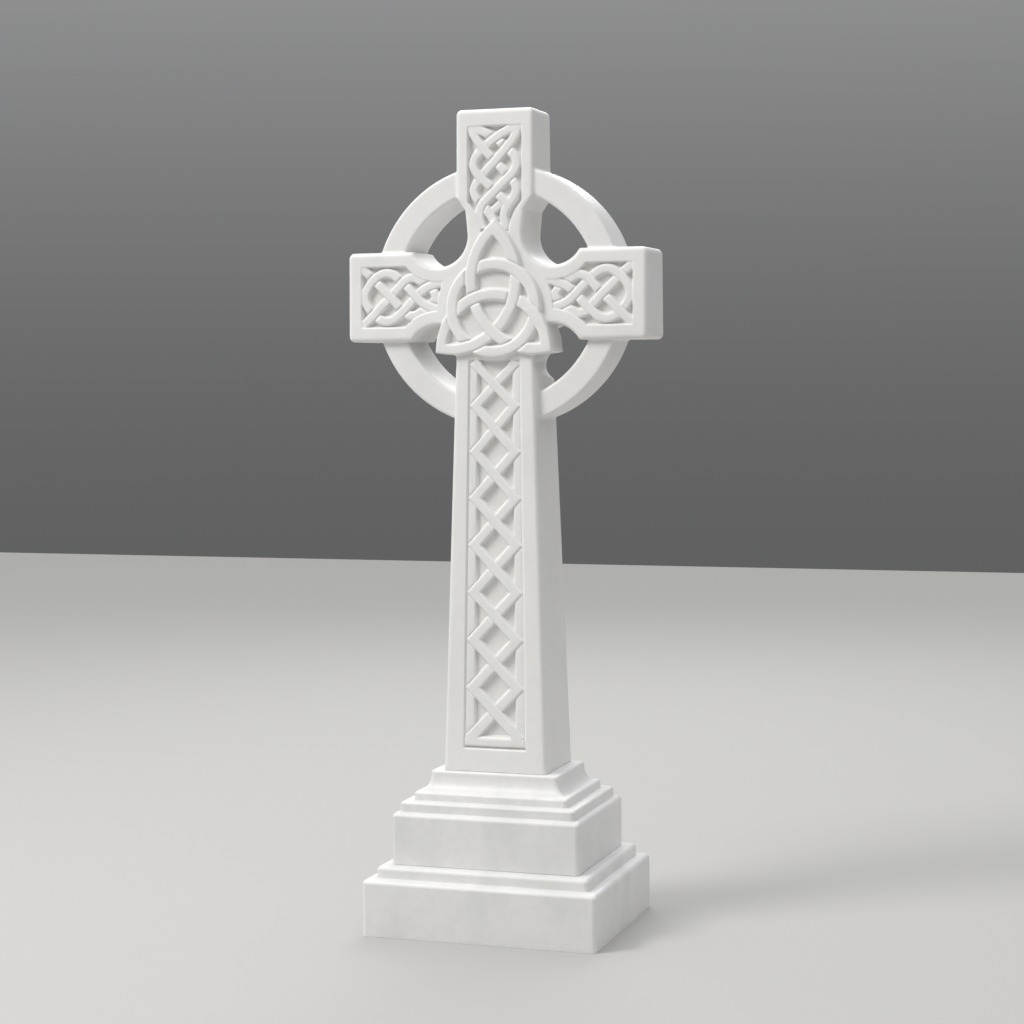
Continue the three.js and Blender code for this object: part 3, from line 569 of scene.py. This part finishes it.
def blurred(field, passes):
    for _ in range(passes):
        for axis in (0, 1):
            field = (np.roll(field, 1, axis) + 2 * field + np.roll(field, -1, axis)) / 4
    return field


def relief_map():
    sink = np.zeros_like(GRID_X)
    sink_panel(sink, shaft_panel(), edge=SHAFT_PANEL_EDGE)
    sink_panel(sink, arm_panel(0, TOP_PANEL, TOP_NECK))
    for turn in (1, -1):
        sink_panel(sink, arm_panel(turn, SIDE_PANEL, PANEL_NECK - PANEL_BATTER), ground=KNOT_GROUND)
    strands = lattice_strands() + knot_strands() + top_strands()
    for turn in (1, -1):
        strands += arm_strands(turn)
    for strand in strands:
        strand.carve(sink)
    return blurred(sink, 3)


def shade_and_grime_mask(sink):
    """How far each place lies below the stone around it, from nothing to one: the mask of the painted shade,
    partly standing for grime, in the recesses.
    """
    around = blurred(sink[::CAVITY_STRIDE, ::CAVITY_STRIDE], 30)
    for axis in (0, 1):
        around = np.repeat(around, CAVITY_STRIDE, axis=axis)
    around = around[:sink.shape[0], :sink.shape[1]]
    return blurred(np.clip((sink - around - CAVITY_START) / CAVITY, 0, 1), 4)


def sampled(field, x, z):
    """Value of a map between its cells."""
    u = np.clip((x - map_x[0]) / MAP_CELL, 0, len(map_x) - 1.001)
    v = np.clip((z - map_z[0]) / MAP_CELL, 0, len(map_z) - 1.001)
    i, j = u.astype(int), v.astype(int)
    u, v = u - i, v - j
    low = field[i, j] * (1 - u) + field[i + 1, j] * u
    high = field[i, j + 1] * (1 - u) + field[i + 1, j + 1] * u
    return low * (1 - v) + high * v


# The plain stone of the cross, as a distance field turned into a mesh
def blank_field(x, y, z):
    depth = np.abs(y) - half_depth(z)
    body = outline_distance(cross_outline(), x, z)
    body = rounded_cut(body, depth, CROSS_ARRIS)
    half = half_depth(HEAD - SCOOP_DROP) + REACH
    scoop_radius = SCOOP_FRONT_RADIUS + (SCOOP_BACK_RADIUS - SCOOP_FRONT_RADIUS) * (y / half + 1) / 2
    scoop = np.hypot(np.abs(x) - SCOOP_CENTRE, z - HEAD + SCOOP_DROP) - scoop_radius
    body = rounded_cut(body, -scoop, SCOOP_ARRIS)
    front = np.maximum(depth, y)
    lobes = rounded_cut(outline_distance(lobe_outline(), x, z), front, LOBE_ARRIS)
    radius = np.hypot(x, z - HEAD)
    inner = RING_INNER - RING_DRAFT * (y / RING_DEPTH + 0.5)
    ring = np.maximum(radius - RING_OUTER, inner - radius)
    ring = rounded_cut(ring, np.abs(y) - RING_DEPTH / 2, RING_ARRIS)
    return rounded_join(rounded_join(body, lobes, LOBE_FILLET), ring, RING_FILLET)


def blank_mesh():
    low = np.array([-ARM_SPAN / 2, -FOOT_DEPTH / 2, FOOT]) - FIELD_BAND
    high = np.array([ARM_SPAN / 2, FOOT_DEPTH / 2, CROWN]) + FIELD_BAND
    axes = [np.arange(a, b, CELL, dtype=np.float32) for a, b in zip(low, high)]
    field = blank_field(axes[0][:, None, None], axes[1][None, :, None], axes[2][None, None, :])
    field = np.clip(field, -FIELD_BAND, FIELD_BAND).astype(np.float32)
    grid = openvdb.FloatGrid(FIELD_BAND)
    grid.copyFromArray(field)
    points, _, quads = grid.convertToPolygons(isovalue=0.0, adaptivity=0.0)
    return points * CELL + low, quads[:, ::-1]


def relaxed(points, quads, passes):
    """Evens out the mesh without shrinking it."""
    a = quads.ravel()
    b = np.roll(quads, -1, axis=1).ravel()
    ends = np.concatenate([a, b])
    others = np.concatenate([b, a])
    count = np.bincount(ends, minlength=len(points))
    for _ in range(passes):
        for share in (0.5, -0.52):
            mean = np.stack([np.bincount(ends, points[others, k], len(points)) / count for k in range(3)], 1)
            points = points + share * (mean - points)
    return points


def mesh_object(name, points, faces):
    mesh = bpy.data.meshes.new(name)
    size = faces.shape[1]
    mesh.vertices.add(len(points))
    mesh.vertices.foreach_set("co", (points * MM).astype(np.float32).ravel())
    mesh.loops.add(faces.size)
    mesh.loops.foreach_set("vertex_index", faces.astype(np.int32).ravel())
    mesh.polygons.add(len(faces))
    mesh.polygons.foreach_set("loop_start", np.arange(0, faces.size, size, dtype=np.int32))
    mesh.update(calc_edges=True)
    mesh.validate()
    mesh.shade_smooth()
    piece = bpy.data.objects.new(name, mesh)
    bpy.context.scene.collection.objects.link(piece)
    return piece


def points_of(mesh):
    points = np.empty(len(mesh.vertices) * 3, np.float32)
    mesh.vertices.foreach_get("co", points)
    return points.reshape(-1, 3).astype(float) / MM


def facing_front(points):
    """One on the front of the stone, falling to nothing a little way behind it."""
    behind = points[:, 1] + half_depth(points[:, 2])
    return smooth_step(1 - (behind - CROSS_ARRIS) / CROSS_ARRIS)


def baked(piece):
    """Applies a piece's modifiers to its mesh."""
    graph = bpy.context.evaluated_depsgraph_get()
    mesh = bpy.data.meshes.new_from_object(piece.evaluated_get(graph))
    piece.modifiers.clear()
    piece.data = mesh
    return mesh


def carved_cross():
    points, quads = blank_mesh()
    points = relaxed(points, quads, 3)
    points[:, 2] = np.maximum(points[:, 2], FOOT)
    piece = mesh_object("carved_cross", points, quads)
    sink = relief_map()
    steep = np.abs(sink) > 0.05
    carved = blurred(steep.astype(float), 12)

    mesh = bmesh.new()
    mesh.from_mesh(piece.data)
    inside = (sampled(carved, points[:, 0], points[:, 2]) > 0.02) & (facing_front(points) > 0.9)
    edges = [e for e in mesh.edges if inside[e.verts[0].index] and inside[e.verts[1].index]]
    bmesh.ops.subdivide_edges(mesh, edges=edges, cuts=1, use_grid_fill=True)
    bmesh.ops.dissolve_degenerate(mesh, edges=mesh.edges[:], dist=0.05 * MM)
    mesh.to_mesh(piece.data)
    mesh.free()

    points = points_of(piece.data)
    points[:, 1] += facing_front(points) * sampled(sink, points[:, 0], points[:, 2])
    piece.data.vertices.foreach_set("co", (points * MM).astype(np.float32).ravel())
    piece.data.update()

    triangles = sum(len(p.vertices) - 2 for p in piece.data.polygons)
    thin = piece.modifiers.new("thin", "DECIMATE")
    thin.ratio = TRIANGLES_KEPT / triangles
    mesh = baked(piece)

    points = points_of(mesh)
    # The hollow attribute carries painted shade into the recesses of the carving, partly standing for grime
    depth = sampled(shade_and_grime_mask(sink), points[:, 0], points[:, 2])
    hollow = mesh.attributes.new("hollow", "FLOAT", "POINT")
    hollow.data.foreach_set("value", (depth * facing_front(points - (0, PANEL_SINK, 0))).astype(np.float32))
    mesh.shade_smooth()
    return piece


# Plinth stones
def course(width, depth, inset, z, corner, steps=8):
    ring = []
    x, y = width / 2 - inset - corner, depth / 2 - inset - corner
    for side, (cx, cy) in enumerate([(x, y), (-x, y), (-x, -y), (x, -y)]):
        start = side * math.pi / 2
        for px, py in arc(cx, cy, corner, start, start + math.pi / 2, steps):
            ring.append((px, py, z))
    return ring


def plinth_piece(name, width, depth, profile, corner):
    courses = [course(width, depth, inset, z, corner) for inset, z in profile]
    size = len(courses[0])
    mesh = bpy.data.meshes.new(name)
    faces = []
    for level in range(len(courses) - 1):
        for i in range(size):
            a, b = level * size + i, level * size + (i + 1) % size
            faces.append((a, b, b + size, a + size))
    last = (len(courses) - 1) * size
    faces.append(tuple(range(size))[::-1])
    faces.append(tuple(range(last, last + size)))
    points = [Vector(p) * MM for ring in courses for p in ring]
    mesh.from_pydata(points, [], faces)
    mesh.validate()
    mesh.shade_smooth()
    piece = bpy.data.objects.new(name, mesh)
    bpy.context.scene.collection.objects.link(piece)
    even = piece.modifiers.new("even", "WEIGHTED_NORMAL")
    even.keep_sharp = False
    return piece


def rounded_top(inset, z, arris, steps=7):
    return [(inset + arris - px, z - arris + py) for px, py in arc(0, 0, arris, 0, math.pi / 2, steps)]


def hollow_corner(inset, z, radius, steps=3):
    """Small worn fillet where a moulding stands on the one below it."""
    return [
        (inset - radius + radius * math.sin(t), z + radius - radius * math.cos(t))
        for t in np.linspace(0, math.pi / 2, steps + 1)
    ]


def lower_plinth():
    profile = [(FOOT_CHAMFER, 0), (0, FOOT_CHAMFER)]
    profile += rounded_top(0, LOWER_RISE, PLINTH_ARRIS)
    profile += hollow_corner(LEDGE_INSET, LOWER_RISE, LEDGE_FILLET)
    profile += rounded_top(LEDGE_INSET, LOWER_TOP, PLINTH_ARRIS)
    return plinth_piece("plinth_lower_stone", LOWER_WIDTH, LOWER_DEPTH, profile, PLINTH_ARRIS)


def upper_plinth():
    die_top = UPPER_FOOT + DIE_RISE
    step_top = die_top + STEP_RISE
    fillet_top = step_top + FILLET_RISE
    hollow_top = fillet_top + HOLLOW_RISE
    hollow_foot = FILLET_INSET + MOULDING_ARRIS
    hollow = []
    for turn in np.linspace(0, math.pi / 2, 15):
        inset = hollow_foot + (HOLLOW_INSET - hollow_foot) * math.sin(turn)
        hollow.append((inset, fillet_top + HOLLOW_RISE * (1 - math.cos(turn))))
    profile = [(FOOT_CHAMFER, UPPER_FOOT), (0, UPPER_FOOT + FOOT_CHAMFER)]
    profile += rounded_top(0, die_top, PLINTH_ARRIS)
    profile += hollow_corner(STEP_INSET, die_top, MOULDING_FILLET)
    profile += rounded_top(STEP_INSET, step_top, MOULDING_ARRIS)
    profile += hollow_corner(FILLET_INSET, step_top, MOULDING_FILLET)
    profile += rounded_top(FILLET_INSET, fillet_top, MOULDING_ARRIS)[:-1]
    profile += hollow
    profile += rounded_top(HOLLOW_INSET, hollow_top + TOP_RISE, MOULDING_ARRIS)
    return plinth_piece("plinth_upper_stone", DIE_WIDTH, DIE_DEPTH, profile, PLINTH_ARRIS)


# Marble
def marble(name, white, cloud, cloud_share, shade_and_grime_in_recesses):
    material = bpy.data.materials.new(name)
    material.use_nodes = True
    nodes, links = material.node_tree.nodes, material.node_tree.links
    shader = nodes["Principled BSDF"]
    shader.inputs["Roughness"].default_value = 0.42
    shader.inputs["Subsurface Weight"].default_value = 0.25
    shader.inputs["Subsurface Radius"].default_value = (1.0, 0.85, 0.7)
    shader.inputs["Subsurface Scale"].default_value = 0.004
    shader.inputs["Specular IOR Level"].default_value = 0.5
    place = nodes.new("ShaderNodeTexCoord")

    def noise(scale, detail, distortion, stretch=(1, 1, 1)):
        mapping = nodes.new("ShaderNodeMapping")
        mapping.inputs["Scale"].default_value = stretch
        links.new(place.outputs["Object"], mapping.inputs["Vector"])
        texture = nodes.new("ShaderNodeTexNoise")
        texture.inputs["Scale"].default_value = scale
        texture.inputs["Detail"].default_value = detail
        texture.inputs["Distortion"].default_value = distortion
        links.new(mapping.outputs["Vector"], texture.inputs["Vector"])
        return texture.outputs["Fac"]

    def ramp(value, start, end, low=0.0, high=1.0):
        band = nodes.new("ShaderNodeMapRange")
        band.interpolation_type = "SMOOTHSTEP"
        band.inputs["From Min"].default_value = start
        band.inputs["From Max"].default_value = end
        band.inputs["To Min"].default_value = low
        band.inputs["To Max"].default_value = high
        links.new(value, band.inputs["Value"])
        return band.outputs["Result"]

    def mixed(first, second, share):
        blend = nodes.new("ShaderNodeMix")
        blend.data_type = "RGBA"
        for socket, value in (("A", first), ("B", second)):
            target = next(s for s in blend.inputs if s.name == socket and s.type == "RGBA")
            if isinstance(value, tuple):
                target.default_value = (*value, 1)
            else:
                links.new(value, target)
        links.new(share, blend.inputs[0])
        return next(s for s in blend.outputs if s.type == "RGBA")

    clouds = ramp(noise(11, 4, 0.3, (1, 1, 0.45)), 0.42, 0.75, 0, cloud_share)
    mottling = ramp(noise(70, 3, 0.2), 0.4, 0.7, 0, cloud_share * 0.4)
    colour = mixed(white, cloud, clouds)
    colour = mixed(colour, cloud, mottling)
    if shade_and_grime_in_recesses:
        # Painted shade in the recesses, partly standing for grime: the colour darkens toward a beige tone by
        # how deep the place lies
        depth = nodes.new("ShaderNodeAttribute")
        depth.attribute_name = "hollow"
        colour = mixed(colour, RECESS_SHADE_AND_GRIME, ramp(depth.outputs["Fac"], 0.2, 1.0, 0, 0.45))
    links.new(colour, shader.inputs["Base Color"])

    grain = nodes.new("ShaderNodeBump")
    grain.inputs["Strength"].default_value = 0.12
    grain.inputs["Distance"].default_value = 0.0004
    links.new(noise(260, 4, 0), grain.inputs["Height"])
    links.new(grain.outputs["Normal"], shader.inputs["Normal"])
    return material


# The cross's material paints shade, partly grime, into its recesses; the plinth's does not
cross_marble = marble("cross_marble", (0.82, 0.815, 0.805), (0.68, 0.68, 0.675), 0.3, True)
plinth_marble = marble("plinth_marble", (0.80, 0.795, 0.785), (0.62, 0.63, 0.62), 0.45, False)

dressed = [
    (carved_cross(), "cross", "cross_marble", cross_marble),
    (upper_plinth(), "upper_plinth", "plinth_marble", plinth_marble),
    (lower_plinth(), "lower_plinth", "plinth_marble", plinth_marble),
]
for piece, node, slot, material in dressed:
    piece.data.materials.clear()
    piece.data.materials.append(material)
    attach(piece, "root")
    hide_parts(node)


# Floor, light and camera, in metres
FLOOR_REACH = 6.0


def plain_floor():
    mesh = bpy.data.meshes.new("studio_floor")
    corners = [(x * FLOOR_REACH, y * FLOOR_REACH, 0) for x, y in ((-1, -1), (1, -1), (1, 1), (-1, 1))]
    mesh.from_pydata(corners, [], [(0, 1, 2, 3)])
    material = bpy.data.materials.new("studio_floor")
    material.use_nodes = True
    shader = material.node_tree.nodes["Principled BSDF"]
    shader.inputs["Base Color"].default_value = (0.47, 0.465, 0.45, 1)
    shader.inputs["Roughness"].default_value = 0.9
    mesh.materials.append(material)
    plane = bpy.data.objects.new("studio_floor", mesh)
    bpy.context.scene.collection.objects.link(plane)


def soft_light(name, place, target, size, power, colour):
    data = bpy.data.lights.new(name, "AREA")
    data.shape = "DISK"
    data.size = size
    data.energy = power
    data.color = colour
    lamp = bpy.data.objects.new(name, data)
    lamp.location = place
    lamp.rotation_euler = (Vector(target) - Vector(place)).to_track_quat("-Z", "Y").to_euler()
    bpy.context.scene.collection.objects.link(lamp)


def sky(high, low):
    """Overcast sky: bright overhead, dimmer towards the horizon."""
    world = bpy.data.worlds.new("studio")
    world.use_nodes = True
    nodes, links = world.node_tree.nodes, world.node_tree.links
    place = nodes.new("ShaderNodeTexCoord")
    split = nodes.new("ShaderNodeSeparateXYZ")
    links.new(place.outputs["Generated"], split.inputs["Vector"])
    rise = nodes.new("ShaderNodeMapRange")
    rise.interpolation_type = "SMOOTHSTEP"
    rise.inputs["From Min"].default_value = -0.1
    rise.inputs["From Max"].default_value = 0.9
    rise.inputs["To Min"].default_value = low
    rise.inputs["To Max"].default_value = high
    links.new(split.outputs["Z"], rise.inputs["Value"])
    links.new(rise.outputs["Result"], nodes["Background"].inputs["Strength"])
    nodes["Background"].inputs["Color"].default_value = (0.98, 0.985, 1.0, 1)
    bpy.context.scene.world = world


# Camera worked out from corners of the stone: place in millimetres, turns in radians, focal length in pixels
CAMERA_PLACE = (1049.4, -3120.2, 817.0)
CAMERA_YAW, CAMERA_PITCH, CAMERA_ROLL = 0.322, -0.062, -0.008
CAMERA_FOCUS, PHOTO_WIDTH, SENSOR = 2229.2, 1024, 36


def camera():
    cy, sy = math.cos(CAMERA_YAW), math.sin(CAMERA_YAW)
    cp, sp = math.cos(CAMERA_PITCH), math.sin(CAMERA_PITCH)
    forward = Vector((-sy * cp, cy * cp, sp))
    right = Vector((cy, sy, 0))
    up = right.cross(forward)
    cr, sr = math.cos(CAMERA_ROLL), math.sin(CAMERA_ROLL)
    side = right * cr + up * sr
    crest = up * cr - right * sr
    data = bpy.data.cameras.new("camera")
    data.sensor_width = SENSOR
    data.lens = CAMERA_FOCUS / PHOTO_WIDTH * SENSOR
    data.clip_end = 50
    lens = bpy.data.objects.new("camera", data)
    turn = Matrix((side, crest, -forward)).transposed().to_4x4()
    lens.matrix_world = Matrix.Translation(Vector(CAMERA_PLACE) * MM) @ turn
    bpy.context.scene.collection.objects.link(lens)
    bpy.context.scene.camera = lens


plain_floor()
soft_light("key", place=(-2.0, -1.9, 3.4), target=(0, 0, 0.7), size=1.4, power=92, colour=(1, 0.985, 0.96))
soft_light("fill", place=(2.8, -1.6, 1.4), target=(0, 0, 0.6), size=2.2, power=1.5, colour=(0.97, 0.98, 1))
soft_light("back", place=(-0.5, 2.6, 2.8), target=(0, 0, 0.8), size=2.2, power=34, colour=(1, 1, 1))
sky(high=1.05, low=0.12)
camera()
bpy.context.scene.view_settings.view_transform = "Standard"
